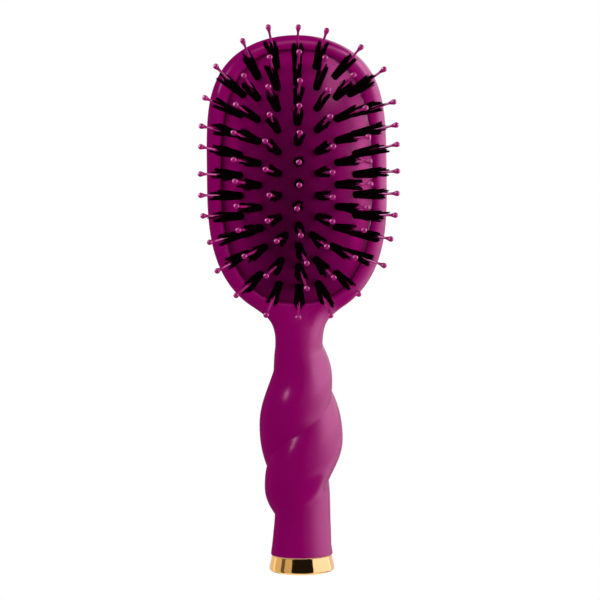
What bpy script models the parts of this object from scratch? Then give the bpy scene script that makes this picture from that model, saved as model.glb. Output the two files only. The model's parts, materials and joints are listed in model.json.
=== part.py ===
"""Oval pneumatic-cushion hair brush with bristle tufts, ball-tipped pins and a twisted handle.

Frame: metres, the brush lies on its back. +Z is the way the bristles point,
+Y runs from the handle to the top of the head, +X across. The origin is the
middle of the footprint, on the surface the brush lies on.
"""

import math

import bmesh
import bpy
import numpy as np
from mathutils import Matrix, Vector

MM = 0.001
GAP = 0.3  # running gap between neighbouring pieces, mm

# ---- driving dimensions, in mm --------------------------------------------
HEAD_Y = 51.2  # centre of the head and of the cushion
HEAD_HALF_WIDTH = 36.8
HEAD_UP, HEAD_UP_N = 57.8, 4.0  # half length and squareness towards the top
HEAD_DOWN, HEAD_DOWN_N = 58.6, 2.92  # the same towards the neck
NECK_HALF_WIDTH = 9.28
NECK_FLARE, NECK_FLARE_LENGTH, NECK_FLARE_Y = 2.73, 3.66, -7.43

ROLL_RADIUS = 3.4  # half-round roll round the rim
ROLL_Z = 14.6  # height of the roll's centre, so its crest is at 18.0

OPENING_A, OPENING_B, OPENING_N = 29.9, 51.4, 2.6  # mouth of the cushion recess
CHAMBER_A, CHAMBER_B = 26.0, 47.5
CHAMBER_FLOOR, LEDGE_Z = 4.2, 8.6

PAD_BASE_Z = 15.4  # where the dome leaves the rim
PAD_RISE = 14.6
PAD_THICKNESS = 1.2

HANDLE_Z = 16.0  # height of the handle's axis
HANDLE_END_Y = -102.5
BORE_RADIUS, BORE_TOP_Y = 6.5, -40.0
SPIGOT_RADIUS, SPIGOT_END_Y = 8.5, -106.2
CAP_END_Y = -108.8

# two strands wind round the handle. Angle 0 is the front, 90 is +X, and the
# angle runs on round the back. Each strand lies between an upper and a lower
# crease (as Y), and swells from the core by its height. Over says how far past
# a crease the swelling runs on, and soft how gently it runs out there.
STRAND_1 = {
    "angle": (-330, -270, -180, -90, 0, 90, 150),
    "upper": (-82.7, -70.1, -52.2, -34.3, -27.0, -18.0, -9.5),
    "lower": (-105.1, -92.1, -76.6, -64.8, -53.4, -40.0, -31.8),
    "height": (0.0, 1.1, 5.5, 6.2, 5.1, 2.9, 0.0),
    "over_upper": (1.5, 1.5, 1.6, 1.7, 1.4, 1.0, 1.0),
    "over_lower": (1.5, 1.5, 1.5, 1.5, 1.5, 1.5, 1.5),
    "soft_upper": (1.0, 1.0, 1.0, 1.0, 1.0, 0.1, 0.0),
    "soft_lower": (0.0, 0.0, 0.0, 0.0, 0.0, 0.0, 0.0),
}
STRAND_2 = {
    "angle": (-240, -180, -90, 0, 90, 180, 270, 330),
    "upper": (-88.8, -76.6, -64.8, -53.4, -40.0, -28.6, -12.3, -3.4),
    "lower": (-111.0, -98.0, -85.4, -80.3, -70.1, -52.2, -34.3, -23.7),
    "height": (0.0, 0.9, 4.2, 5.6, 6.8, 5.6, 0.2, 0.0),
    "over_upper": (1.5, 1.5, 1.5, 1.5, 1.5, 1.5, 1.5, 1.5),
    "over_lower": (1.0, 1.0, 1.0, 1.22, 1.32, 1.5, 1.5, 1.5),
    "soft_upper": (0.0, 0.0, 0.0, 0.0, 0.0, 0.0, 0.0, 0.0),
    "soft_lower": (0.0, 0.0, 0.0, 0.9, 1.0, 1.0, 1.0, 1.0),
}

# bristle field: 7 columns across the head, staggered by half a pitch
COLUMNS = (-3, -2, -1, 0, 1, 2, 3)
COLUMN_X = {0: 0.0, 1: 8.0, 2: 16.0, 3: 23.3}
COLUMN_COUNT = {0: 12, 1: 11, 2: 10, 3: 9}
COLUMN_HALF_LENGTH = {0: 45.1, 1: 43.9, 2: 39.9, 3: 32.8}
COLUMN_DRAW_IN = {0: 0.0, 1: 0.0, 2: 0.06, 3: 0.30}
WAIST = {0: 0.0, 1: 2.9, 2: 2.4, 3: 1.6}  # how far the columns draw in towards the handle
WAIST_Y, WAIST_LENGTH, WAIST_LIFT = 22.5, 6.0, 2.3
PIN_LENGTH = 22.0  # above the cushion
PIN_RADIUS, PIN_NECK_RADIUS, BALL_RADIUS = 0.55, 0.45, 1.1
TUFT_LENGTH = 15.0
TUFT_ROOT_RADIUS, TUFT_TIP_RADIUS, TUFT_BORE = 1.6, 2.6, 0.98
HOLE_RADIUS = 2.15

AROUND = 30  # vertices round the body
OUTLINE = 28  # vertices round the cushion's oval pieces


# ---- scene ------------------------------------------------------------------
for old in list(bpy.data.objects):
    bpy.data.objects.remove(old, do_unlink=True)
scene = bpy.context.scene
parts = bpy.data.collections.new("boar_bristle_brush")
cutters = bpy.data.collections.new("cutters")
scene.collection.children.link(parts)
scene.collection.children.link(cutters)


def material(name, colour, roughness, metallic=0.0):
    m = bpy.data.materials.new(name)
    m.use_nodes = True
    shader = m.node_tree.nodes["Principled BSDF"]
    shader.inputs["Base Color"].default_value = (*colour, 1.0)
    shader.inputs["Roughness"].default_value = roughness
    shader.inputs["Metallic"].default_value = metallic
    m.diffuse_color = (*colour, 1.0)
    return m


PLUM = material("plum_gloss_plastic", (0.20, 0.002, 0.09), 0.25)
RUBBER = material("plum_rubber", (0.17, 0.003, 0.075), 0.55)
FRAME = material("black_plastic", (0.02, 0.018, 0.02), 0.5)
NYLON = material("pink_nylon", (0.45, 0.03, 0.22), 0.35)
BRISTLE = material("black_bristle", (0.008, 0.005, 0.005), 0.6)
STEEL = material("steel_wire", (0.55, 0.55, 0.57), 0.35, 1.0)
GOLD = material("polished_gold", (0.86, 0.56, 0.22), 0.08, 1.0)


def place(name, mesh, finish, collection=parts):
    """A named object for a mesh, in a collection, with its material."""
    obj = bpy.data.objects.new(name, mesh)
    collection.objects.link(obj)
    if finish is not None:
        mesh.materials.clear()
        mesh.materials.append(finish)
    return obj


def as_cutter(obj):
    obj.hide_render = True
    obj.display_type = "WIRE"
    return obj


def mesh_from(name, bm):
    """A mesh in metres from a bmesh in mm, with its faces pointing out."""
    bmesh.ops.recalc_face_normals(bm, faces=bm.faces)
    bmesh.ops.scale(bm, vec=(MM, MM, MM), verts=bm.verts)
    mesh = bpy.data.meshes.new(name)
    bm.to_mesh(mesh)
    bm.free()
    return mesh


def evaluated(obj):
    """The object's mesh with its modifiers, in world space."""
    bpy.context.view_layer.update()
    deps = bpy.context.evaluated_depsgraph_get()
    mesh = bpy.data.meshes.new_from_object(obj.evaluated_get(deps), depsgraph=deps)
    mesh.transform(obj.matrix_world)
    return mesh


def boolean(obj, cutter, operation):
    mod = obj.modifiers.new(operation.lower(), "BOOLEAN")
    mod.operation = operation
    mod.solver = "EXACT"
    mod.object = cutter
    return mod


def loft(rings, close_start=True, close_end=True):
    """A bmesh through rings of equal length, listed in order."""
    bm = bmesh.new()
    loops = [[bm.verts.new(p) for p in ring] for ring in rings]
    count = len(loops[0])
    for a, b in zip(loops, loops[1:]):
        for i in range(count):
            j = (i + 1) % count
            bm.faces.new((a[i], a[j], b[j], b[i]))
    if close_start:
        bm.faces.new(loops[0][::-1])
    if close_end:
        bm.faces.new(loops[-1])
    return bm


def smooth(mesh, angle=35.0):
    mesh.shade_smooth()
    mesh.set_sharp_from_angle(angle=math.radians(angle))


def smoothstep(t):
    t = min(max(t, 0.0), 1.0)
    return t * t * (3.0 - 2.0 * t)


def through(x, xs, ys):
    """A smooth curve through points, with level ends."""
    if x <= xs[0]:
        return ys[0]
    if x >= xs[-1]:
        return ys[-1]
    i = max(j for j in range(len(xs) - 1) if xs[j] <= x)
    slopes = [0.0] * len(xs)
    for j in range(1, len(xs) - 1):
        slopes[j] = (ys[j + 1] - ys[j - 1]) / (xs[j + 1] - xs[j - 1])
    h = xs[i + 1] - xs[i]
    t = (x - xs[i]) / h
    return (
        (2 * t**3 - 3 * t**2 + 1) * ys[i]
        + (t**3 - 2 * t**2 + t) * h * slopes[i]
        + (-2 * t**3 + 3 * t**2) * ys[i + 1]
        + (t**3 - t**2) * h * slopes[i + 1]
    )


# ---- outlines -----------------------------------------------------------------
def half_width(y):
    """Half the brush's width at y, from the top of the head to the neck."""
    if y >= HEAD_Y:
        v = min((y - HEAD_Y) / HEAD_UP, 1.0)
        return HEAD_HALF_WIDTH * math.sqrt(1.0 - v**HEAD_UP_N)
    v = min((HEAD_Y - y) / HEAD_DOWN, 1.0)
    head = HEAD_HALF_WIDTH * math.sqrt(1.0 - v**HEAD_DOWN_N)
    neck = NECK_HALF_WIDTH + NECK_FLARE * math.exp(
        min((y - NECK_FLARE_Y) / NECK_FLARE_LENGTH, 4.0)
    )
    s = smoothstep((-2.3 - y) / 3.0)
    return (1.0 - s) * head + s * neck


EDGE = np.array(
    [
        (half_width(y), y)
        for y in np.concatenate(
            [
                HEAD_Y + HEAD_UP * np.sin(np.linspace(math.pi / 2, 0, 160)) ** (2.0 / HEAD_UP_N),
                np.linspace(HEAD_Y, -30.0, 260)[1:],
            ]
        )
    ]
)
EDGE = np.vstack([[(0.0, HEAD_Y + HEAD_UP)], EDGE])


def inset(x, y):
    """How far a point lies inside the brush's outline, seen from the front."""
    a, b = EDGE[:-1], EDGE[1:]
    p = np.array((abs(x), y))
    d = b - a
    t = np.clip(((p - a) * d).sum(1) / np.maximum((d * d).sum(1), 1e-12), 0, 1)
    return float(np.sqrt(((a + t[:, None] * d - p) ** 2).sum(1)).min())


def oval(a, b, z, count=OUTLINE, n=OPENING_N):
    """A ring round the cushion's oval at height z."""
    ring = []
    for i in range(count):
        t = 2.0 * math.pi * i / count
        c, s = math.cos(t), math.sin(t)
        ring.append(
            (
                a * math.copysign(abs(c) ** (2.0 / n), c),
                HEAD_Y + b * math.copysign(abs(s) ** (2.0 / n), s),
                z,
            )
        )
    return ring


def dome(x, y):
    """Height of the cushion's outer surface."""
    u, v = abs(x) / OPENING_A, abs(y - HEAD_Y) / OPENING_B
    rho = (u**OPENING_N + v**OPENING_N) ** (1.0 / OPENING_N)
    return PAD_BASE_Z + PAD_RISE * (1.0 - min(rho, 1.0) ** 2)


# ---- handle -------------------------------------------------------------------
def core(y):
    """Radius of the handle's core under the strands."""
    return through(
        y,
        (-103.0, -98.0, -93.0, -88.0, -80.0, -52.0, -32.0, -23.0, -17.0),
        (12.55, 11.95, 11.4, 10.9, 10.55, 10.4, 10.1, 9.75, 9.3),
    )


def strand_height(strand, angle, y):
    angles = strand["angle"]
    best = 0.0
    for turn in (-360, 0, 360):
        a = angle + turn
        if not angles[0] <= a <= angles[-1]:
            continue
        upper = through(a, angles, strand["upper"])
        lower = through(a, angles, strand["lower"])
        middle, half = 0.5 * (upper + lower), 0.5 * (upper - lower)
        end = "upper" if y > middle else "lower"
        t = abs(y - middle) / (half * through(a, angles, strand["over_" + end]))
        if t < 1.0:
            soft = through(a, angles, strand["soft_" + end])
            shape = (1.0 - soft) * (1.0 - t**2.3) + soft * (1.0 - t * t) ** 2
            best = max(best, through(a, angles, strand["height"]) * shape)
    return best


def handle_radius(angle, y):
    one, two = strand_height(STRAND_1, angle, y), strand_height(STRAND_2, angle, y)
    soft = 0.6
    h = max(soft - abs(one - two), 0.0) / soft
    return core(y) + max(one, two) + 0.25 * h * h * soft * (min(one, two) > 0.0)


def section(y):
    """Ring of the body at y: a shallow dish with a rolled rim on the head, round
    on the neck, and the twisted strands on the handle."""
    front = smoothstep((-1.8 - y) / 13.5)
    back = smoothstep((9.0 - y) / 27.0)
    middle = smoothstep((0.0 - y) / 18.0)
    flat = 0.86 + 0.14 * smoothstep((-12.0 - y) / 28.0)
    ring = []
    for i in range(AROUND):
        angle = 360.0 * i / AROUND
        signed = angle if angle <= 180.0 else angle - 360.0
        s, c = math.sin(math.radians(angle)), math.cos(math.radians(angle))
        if abs(s) < 1e-9:
            s = 0.0
        if abs(c) < 1e-9:
            c = 0.0
        if y <= -18.0:
            r = handle_radius(signed, y)
            ring.append((r * s, y, HANDLE_Z + r * c * flat))
            continue
        w = half_width(y)
        x = w * s
        d = inset(x, y) if abs(c) > 0.0 else 0.0
        radius = 9.3 + 0.25 * max(w - 9.3, 0.0)
        edge = ROLL_Z + (HANDLE_Z - ROLL_Z) * middle
        if c >= 0.0:
            k = max(ROLL_RADIUS - d, 0.0)
            dish = edge + math.sqrt(max(ROLL_RADIUS**2 - k * k, 0.0))
            round_z = HANDLE_Z + radius * c * flat
            z = dish + (round_z - dish) * front
        else:
            if y >= HEAD_Y:
                u = math.sqrt((x / HEAD_HALF_WIDTH) ** 2 + ((y - HEAD_Y) / HEAD_UP) ** HEAD_UP_N)
                flat_n = 3.6
            else:
                u = abs(s)
                flat_n = 2.0 + 1.6 * smoothstep((w - 10.0) / 22.0)
            dish = edge * (1.0 - math.sqrt(max(1.0 - min(u, 1.0) ** flat_n, 0.0)))
            round_z = HANDLE_Z + radius * c * flat
            z = dish + (round_z - dish) * back
        ring.append((x, y, z))
    return ring


def stations():
    ys = []
    for deg in (88, 82, 75, 67, 59, 51, 43, 35, 26, 16, 6):
        ys.append(HEAD_Y + HEAD_UP * math.sin(math.radians(deg)) ** (2 / HEAD_UP_N))
    for deg in (0, 10, 20, 29, 37, 44, 51, 57, 62):
        ys.append(
            HEAD_Y - HEAD_DOWN * math.sin(math.radians(deg)) ** (2 / HEAD_DOWN_N)
        )
    last = ys[-1]
    neck = np.linspace(last, -18.0, 11)[1:]
    grip = np.linspace(-18.0, HANDLE_END_Y, 28)[1:]
    return ys + [float(v) for v in neck] + [float(v) for v in grip]


def turned(name, profile, sides, finish=None, collection=parts):
    """A solid turned about its own Z from (radius, height) pairs, top to bottom."""
    mesh = bpy.data.meshes.new(name)
    bm = bmesh.new()
    verts = [bm.verts.new((r * MM, 0.0, z * MM)) for r, z in profile]
    for a, b in zip(verts, verts[1:]):
        bm.edges.new((a, b))
    bm.to_mesh(mesh)
    bm.free()
    obj = place(name, mesh, finish, collection)
    mod = obj.modifiers.new("turn", "SCREW")
    mod.axis = "Z"
    mod.steps = mod.render_steps = sides
    mod.use_merge_vertices = True
    mod.merge_threshold = 1e-6
    mod.use_smooth_shade = True
    return obj


# ---- body: head, neck and handle in one moulding --------------------------------
body = place("brush_body", mesh_from("brush_body", loft([section(y) for y in stations()])), PLUM)

rings = [
    oval(CHAMBER_A, CHAMBER_B, CHAMBER_FLOOR),
    oval(CHAMBER_A, CHAMBER_B, LEDGE_Z),
    oval(OPENING_A, OPENING_B, LEDGE_Z),
]
for step in range(5):
    t = math.radians(22.5 * step)
    out = ROLL_RADIUS * (1.0 - math.cos(t))
    rings.append(oval(OPENING_A + out, OPENING_B + out, ROLL_Z + ROLL_RADIUS * math.sin(t) - 0.02))
rings.append(oval(OPENING_A + ROLL_RADIUS, OPENING_B + ROLL_RADIUS, 26.0))
recess = as_cutter(place("recess_cutter", mesh_from("recess_cutter", loft(rings)), None, cutters))
boolean(body, recess, "DIFFERENCE")

# spigot for the end cap, and the core hole that keeps the grip's wall even
to_y = Matrix.Translation((0, 0, HANDLE_Z * MM)) @ Matrix.Rotation(math.radians(-90), 4, "X")
spigot = turned(
    "spigot",
    [(0, HANDLE_END_Y + 2.0), (SPIGOT_RADIUS, HANDLE_END_Y + 2.0), (SPIGOT_RADIUS, SPIGOT_END_Y), (0, SPIGOT_END_Y)],
    24,
    None,
    cutters,
)
spigot.matrix_world = to_y
as_cutter(spigot)
boolean(body, spigot, "UNION")
bore = turned(
    "bore_cutter",
    [(0, BORE_TOP_Y), (BORE_RADIUS - 1.2, BORE_TOP_Y), (BORE_RADIUS, BORE_TOP_Y - 1.2), (BORE_RADIUS, SPIGOT_END_Y - 3.0), (0, SPIGOT_END_Y - 3.0)],
    20,
    None,
    cutters,
)
bore.matrix_world = to_y
as_cutter(bore)
boolean(body, bore, "DIFFERENCE")
smooth(body.data)

# ---- end cap and the plug that closes the core hole -------------------------------
end_cap = turned(
    "end_cap",
    [
        (0, SPIGOT_END_Y - GAP),
        (SPIGOT_RADIUS + GAP, SPIGOT_END_Y - GAP),
        (SPIGOT_RADIUS + GAP, HANDLE_END_Y - GAP),
        (11.9, HANDLE_END_Y - GAP),
        (12.25, HANDLE_END_Y - GAP - 0.35),
        (12.6, -104.9),
        (13.2, -106.6),
        (13.3, -107.6),
        (12.9, -108.4),
        (12.1, CAP_END_Y),
        (0, CAP_END_Y),
    ],
    36,
    GOLD,
)
end_cap.matrix_world = to_y

cap_plug = turned(
    "cap_plug",
    [
        (0, -95.0),
        (BORE_RADIUS - GAP - 0.5, -95.0),
        (BORE_RADIUS - GAP, -95.8),
        (BORE_RADIUS - GAP, SPIGOT_END_Y),
        (0, SPIGOT_END_Y),
    ],
    20,
    FRAME,
)
cap_plug.matrix_world = to_y

# ---- cushion ---------------------------------------------------------------------
# clamping frame: a plain ring on the recess ledge, under the cushion's flange
ring_rings = [
    oval(OPENING_A - GAP, OPENING_B - GAP, LEDGE_Z + GAP),
    oval(OPENING_A - GAP, OPENING_B - GAP, LEDGE_Z + 3.0),
    oval(OPENING_A - 2.7, OPENING_B - 2.7, LEDGE_Z + 3.0),
    oval(OPENING_A - 2.7, OPENING_B - 2.7, LEDGE_Z + GAP),
]
bm = loft(ring_rings, close_start=False, close_end=False)
bm.verts.ensure_lookup_table()
first, last = bm.verts[:OUTLINE], bm.verts[-OUTLINE:]
for i in range(OUTLINE):
    j = (i + 1) % OUTLINE
    bm.faces.new((last[i], last[j], first[j], first[i]))
place("cushion_frame", mesh_from("cushion_frame", bm), FRAME)

# pad: a domed sheet with a skirt that stands on the frame
pad_bm = bmesh.new()
edge_a, edge_b = OPENING_A - GAP - 0.1, OPENING_B - GAP - 0.1
pad_rings = [oval(edge_a, edge_b, LEDGE_Z + 3.0 + GAP)]
for scale in (1.0, 0.92, 0.8, 0.65, 0.48, 0.3, 0.12):
    pad_rings.append(
        oval(edge_a * scale, edge_b * scale, PAD_BASE_Z + PAD_RISE * (1.0 - scale**2))
    )
pad_bm = loft(pad_rings, close_start=False, close_end=True)
bmesh.ops.poke(pad_bm, faces=[f for f in pad_bm.faces if len(f.verts) > 4])
for v in pad_bm.verts:
    if abs(v.co.x) < 1e-6 and abs(v.co.y - HEAD_Y) < 1e-6:
        v.co.z = PAD_BASE_Z + PAD_RISE
pad = place("cushion_pad", mesh_from("cushion_pad", pad_bm), RUBBER)
wall = pad.modifiers.new("wall", "SOLIDIFY")
wall.thickness = PAD_THICKNESS * MM
wall.offset = -1.0
wall.use_even_offset = True


# ---- bristle field -----------------------------------------------------------------
def seat(column, i):
    """Where a tuft leaves the cushion, and the way it points."""
    k = abs(column)
    count = COLUMN_COUNT[k]
    dy = COLUMN_HALF_LENGTH[k] * (1.0 - 2.0 * i / (count - 1))
    v = abs(dy) / OPENING_B
    waist = math.exp(-(((HEAD_Y + dy - WAIST_Y) / WAIST_LENGTH) ** 2)) if k else 0.0
    x = math.copysign(COLUMN_X[k] * (1.0 - COLUMN_DRAW_IN[k] * v**3) - WAIST[k] * waist, column)
    lean_x = math.radians(1.55 * abs(x) + 0.018 * x * x)
    lean_y = math.radians(0.5 * abs(dy) + 0.0055 * dy * dy)
    way = Vector(
        (math.copysign(math.tan(lean_x), x), math.copysign(math.tan(lean_y), dy), 1.0)
    )
    if k == 0:
        way.x = 0.0
    if abs(dy) < 1e-9:
        way.y = 0.0
    y = HEAD_Y + dy + WAIST_LIFT * waist
    return Vector((x, y, dome(x, y))), way.normalized()


def frame_of(column, i):
    """Matrix that stands a piece on its seat, its Z along the pin."""
    at, way = seat(column, i)
    side = Vector((0, 1, 0)).cross(way).normalized()
    up = way.cross(side)
    return Matrix(
        (
            (side.x, up.x, way.x, at.x),
            (side.y, up.y, way.y, at.y),
            (side.z, up.z, way.z, at.z),
            (0, 0, 0, 1),
        )
    )


def copies(name, template, column):
    """One mesh holding a copy of the template at every seat of a column."""
    bm = bmesh.new()
    for i in range(COLUMN_COUNT[abs(column)]):
        m = frame_of(column, i)
        m.translation = m.translation * MM
        one = template.copy()
        one.transform(m @ Matrix.Rotation(math.radians(10.0), 4, "Z"))
        bm.from_mesh(one)
        bpy.data.meshes.remove(one)
    mesh = bpy.data.meshes.new(name)
    bm.to_mesh(mesh)
    bm.free()
    return mesh


def backbone(column, depth, side=0.0, over=1.2):
    """Points behind the cushion that follow a column, run on past its ends."""
    points = []
    for i in range(COLUMN_COUNT[abs(column)]):
        m = frame_of(column, i)
        points.append(m @ Vector((side, 0.0, -depth)))
    first = points[0] + (points[0] - points[1]).normalized() * over
    last = points[-1] + (points[-1] - points[-2]).normalized() * over
    return [first, *points, last]


def ribbon(name, column, depth, width, thickness, finish):
    """A flat strip along a column, its broad side square to the pins."""
    count = COLUMN_COUNT[abs(column)]
    points = backbone(column, depth)
    sides = [frame_of(column, i).col[0].to_3d() for i in range(count)]
    sides = [sides[0], *sides, sides[-1]]
    bm = bmesh.new()
    rails = [
        [bm.verts.new(p + s * (h * width / 2)) for p, s in zip(points, sides)]
        for h in (-1, 1)
    ]
    for i in range(len(points) - 1):
        bm.faces.new((rails[0][i], rails[1][i], rails[1][i + 1], rails[0][i + 1]))
    obj = place(name, mesh_from(name, bm), finish)
    mod = obj.modifiers.new("thickness", "SOLIDIFY")
    mod.thickness = thickness * MM
    mod.offset = 0.0
    return obj


pin_shape = evaluated(
    turned(
        "pin_shape",
        [
            (0, PIN_LENGTH),
            (0.6, PIN_LENGTH - 0.1),
            (BALL_RADIUS, PIN_LENGTH - 1.0),
            (PIN_NECK_RADIUS, PIN_LENGTH - 2.2),
            (PIN_RADIUS, -4.75),
            (0, -4.75),
        ],
        6,
        None,
        cutters,
    )
)
tuft_shape = evaluated(
    turned(
        "tuft_shape",
        [(0, TUFT_LENGTH), (TUFT_TIP_RADIUS, TUFT_LENGTH), (TUFT_ROOT_RADIUS, -2.45), (0, -2.45)],
        5,
        None,
        cutters,
    )
)
bore_shape = evaluated(
    turned(
        "bore_shape",
        [(0, TUFT_LENGTH + 1), (TUFT_BORE, TUFT_LENGTH + 1), (TUFT_BORE, -4.0), (0, -4.0)],
        5,
        None,
        cutters,
    )
)
hole_shape = evaluated(
    turned("hole_shape", [(0, 2.5), (HOLE_RADIUS, 2.5), (HOLE_RADIUS, -3.0), (0, -3.0)], 5, None, cutters)
)
for name in ("pin_shape", "tuft_shape", "bore_shape", "hole_shape"):
    as_cutter(bpy.data.objects[name])

NAMES = {-3: "left_3", -2: "left_2", -1: "left_1", 0: "centre", 1: "right_1", 2: "right_2", 3: "right_3"}
all_holes = bmesh.new()
for column in COLUMNS:
    tag = NAMES[column]

    pins = as_cutter(place(f"pins_{tag}", copies(f"pins_{tag}", pin_shape, column), None, cutters))
    runner = ribbon(f"pin_row_{tag}", column, 4.75, 2.6, 1.2, NYLON)
    boolean(runner, pins, "UNION")

    sleeves = as_cutter(place(f"sleeves_{tag}", copies(f"sleeves_{tag}", tuft_shape, column), None, cutters))
    bores = as_cutter(place(f"bores_{tag}", copies(f"bores_{tag}", bore_shape, column), None, cutters))
    tufts = ribbon(f"tuft_row_{tag}", column, 2.45, 2.6, 0.9, BRISTLE)
    boolean(tufts, sleeves, "UNION")
    boolean(tufts, bores, "DIFFERENCE")

    wire_line = bpy.data.curves.new(f"anchor_wire_{tag}", "CURVE")
    wire_line.dimensions = "3D"
    wire_line.bevel_depth = 0.28 * MM
    wire_line.bevel_resolution = 1
    wire_line.use_fill_caps = True
    points = backbone(column, 3.52, side=1.35)
    spline = wire_line.splines.new("POLY")
    spline.points.add(len(points) - 1)
    for p, q in zip(spline.points, points):
        p.co = (q.x * MM, q.y * MM, q.z * MM, 1.0)
    wire = bpy.data.objects.new(f"anchor_wire_{tag}", wire_line)
    wire_line.materials.append(STEEL)
    parts.objects.link(wire)

    holes = copies(f"holes_{tag}", hole_shape, column)
    all_holes.from_mesh(holes)

hole_mesh = bpy.data.meshes.new("pad_holes")
all_holes.to_mesh(hole_mesh)
all_holes.free()
pad_holes = as_cutter(place("pad_holes", hole_mesh, None, cutters))
boolean(pad, pad_holes, "DIFFERENCE")
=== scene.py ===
"""Looks of the oval cushion hair brush: moulded body, rubber cushion, bristle
tufts, ball-tipped pins, gold end cap, floor, light and camera.

Lengths in the shape code are millimetres and become metres in `piece()`.
+Z is the way the bristles point, +Y runs from the handle to the head's top.
"""

import json
import math

import bmesh
import bpy
import numpy as np
from mathutils import Matrix, Vector

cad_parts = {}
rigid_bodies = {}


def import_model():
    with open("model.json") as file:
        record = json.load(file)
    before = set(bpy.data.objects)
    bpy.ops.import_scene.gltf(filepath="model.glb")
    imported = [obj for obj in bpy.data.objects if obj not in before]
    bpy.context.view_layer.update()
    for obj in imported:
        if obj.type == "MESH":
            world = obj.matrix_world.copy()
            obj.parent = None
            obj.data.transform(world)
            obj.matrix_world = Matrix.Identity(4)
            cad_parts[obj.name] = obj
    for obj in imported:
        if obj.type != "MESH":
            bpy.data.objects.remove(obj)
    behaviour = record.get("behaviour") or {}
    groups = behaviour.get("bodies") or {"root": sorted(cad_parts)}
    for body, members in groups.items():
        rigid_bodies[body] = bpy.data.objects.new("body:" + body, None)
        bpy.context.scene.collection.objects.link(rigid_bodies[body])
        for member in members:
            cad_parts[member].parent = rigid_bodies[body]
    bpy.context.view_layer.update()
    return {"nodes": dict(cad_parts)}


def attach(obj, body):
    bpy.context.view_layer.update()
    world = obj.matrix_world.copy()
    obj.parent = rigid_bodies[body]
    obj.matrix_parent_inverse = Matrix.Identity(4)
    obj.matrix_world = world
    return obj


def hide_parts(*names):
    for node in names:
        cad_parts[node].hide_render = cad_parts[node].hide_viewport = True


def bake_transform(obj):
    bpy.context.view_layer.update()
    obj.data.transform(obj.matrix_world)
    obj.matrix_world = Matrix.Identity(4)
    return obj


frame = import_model()
MM = 0.001

# ---- sizes shared with the model, in mm -------------------------------------
HEAD_Y = 51.2
HEAD_HALF_WIDTH = 36.8
HEAD_UP, HEAD_UP_N = 57.8, 4.0
HEAD_DOWN, HEAD_DOWN_N = 58.6, 3.05
NECK_HALF_WIDTH = 9.28
NECK_FLARE, NECK_FLARE_LENGTH, NECK_FLARE_Y = 2.73, 3.66, -7.43
RIM_Z = 13.0  # where front and back of the head meet
RIM_OUT, RIM_OUT_RISE = 4.9, 5.0  # the rim's broad outer shoulder: width and height
RIM_IN, RIM_IN_DROP = 1.6, 3.4  # its tight inner edge, down to the cushion
OPENING_A, OPENING_B, OPENING_N = 30.75, 51.4, 2.6
OPENING_X = -0.05
CHAMBER_A, CHAMBER_B = 26.0, 47.5
CHAMBER_FLOOR, LEDGE_Z = 4.2, 8.6
PAD_BASE_Z, PAD_RISE, PAD_THICKNESS = 15.4, 14.6, 1.2
PAD_SKIRT_Z = 11.9
EDGE_LIFT = 0.7  # the cushion's edge is a little fuller than the plain dome
HANDLE_Z, HANDLE_END_Y = 16.0, -102.5
BORE_RADIUS, BORE_TOP_Y = 6.5, -40.0
SPIGOT_RADIUS, SPIGOT_END_Y = 8.5, -106.2
CAP_END_Y = -108.8
NECK_TOP_Y = -4.0  # where the rings of the neck meet the head
GRIP_TOP_Y = -18.0

STRAND_1 = {
    "angle": (-330, -270, -180, -90, 0, 90, 150),
    "upper": (-82.7, -70.1, -52.2, -34.3, -27.0, -18.0, -9.5),
    "lower": (-105.1, -92.1, -76.6, -64.8, -53.4, -40.0, -31.8),
    "height": (0.0, 1.1, 5.5, 6.2, 5.1, 2.9, 0.0),
    "over_upper": (1.5, 1.5, 1.6, 1.7, 1.4, 1.0, 1.0),
    "over_lower": (1.5, 1.5, 1.5, 1.5, 1.22, 1.5, 1.5),
    "soft_upper": (1.0, 1.0, 1.0, 1.0, 1.0, 0.1, 0.0),
    "soft_lower": (0.0, 0.0, 0.0, 0.0, 0.0, 0.0, 0.0),
}
STRAND_2 = {
    "angle": (-240, -180, -90, 0, 90, 180, 270, 330),
    "upper": (-88.8, -76.6, -64.8, -53.4, -40.0, -28.6, -12.3, -3.4),
    "lower": (-111.0, -98.0, -85.4, -80.3, -70.1, -52.2, -34.3, -23.7),
    "height": (0.0, 0.9, 4.2, 5.6, 6.8, 5.6, 0.2, 0.0),
    "over_upper": (1.5, 1.5, 1.5, 1.5, 1.5, 1.5, 1.5, 1.5),
    "over_lower": (1.0, 1.0, 1.0, 1.22, 1.32, 1.5, 1.5, 1.5),
    "soft_upper": (0.0, 0.0, 0.0, 0.0, 0.0, 0.0, 0.0, 0.0),
    "soft_lower": (0.0, 0.0, 0.0, 0.9, 1.0, 1.0, 1.0, 1.0),
}

COLUMNS = {-3: "left_3", -2: "left_2", -1: "left_1", 0: "centre", 1: "right_1", 2: "right_2", 3: "right_3"}
COLUMN_X = {0: 0.0, 1: 8.0, 2: 16.0, 3: 23.3}
COLUMN_COUNT = {0: 12, 1: 11, 2: 10, 3: 9}
COLUMN_HALF_LENGTH = {0: 45.1, 1: 43.9, 2: 39.9, 3: 32.8}
COLUMN_DRAW_IN = {0: 0.0, 1: 0.0, 2: 0.06, 3: 0.30}
WAIST = {0: 0.0, 1: 2.9, 2: 2.4, 3: 1.6}
WAIST_Y, WAIST_LENGTH, WAIST_LIFT = 22.5, 6.0, 2.3
PIN_LENGTH, TUFT_LENGTH = 22.0, 15.0

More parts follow.
